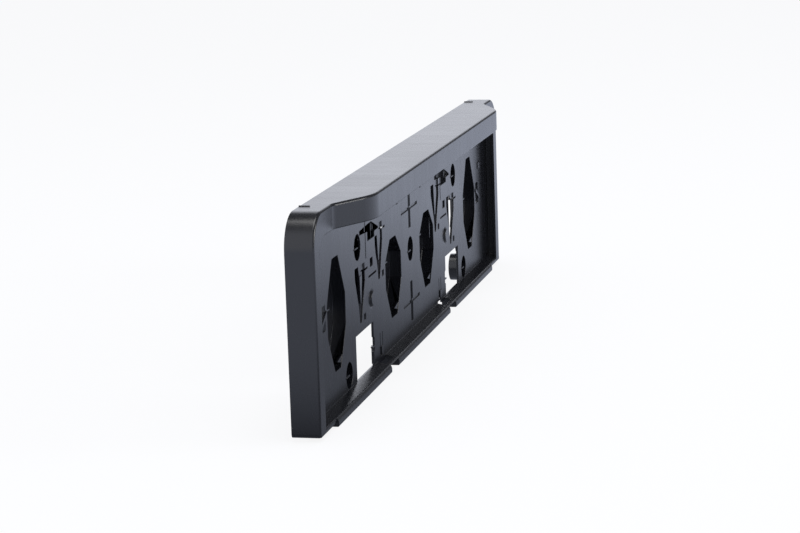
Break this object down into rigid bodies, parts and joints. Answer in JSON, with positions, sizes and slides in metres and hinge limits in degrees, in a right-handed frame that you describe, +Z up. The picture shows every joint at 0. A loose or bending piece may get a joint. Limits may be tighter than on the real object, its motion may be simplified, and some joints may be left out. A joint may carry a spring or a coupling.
{
  "type": "number plate holder",
  "caption": "Moulded plastic holder that clips a vehicle number plate to a bumper, with a hooded upper edge, side lips, a lower ledge and cut-outs for springs and screws.",
  "frame": {"origin": "middle of the footprint, on the level of the foot's underside, which is the lowest edge", "axes": "+X along the plate's width, +Y towards the bumper, +Z up; the open front faces -Y"},
  "size_m": [0.53, 0.0326, 0.125],
  "materials": {
    "satin_black_plastic": "satin, fine even grain"
  },
  "bodies": {
    "root": {"plate_holder": "satin_black_plastic"}
  },
  "joints": []
}
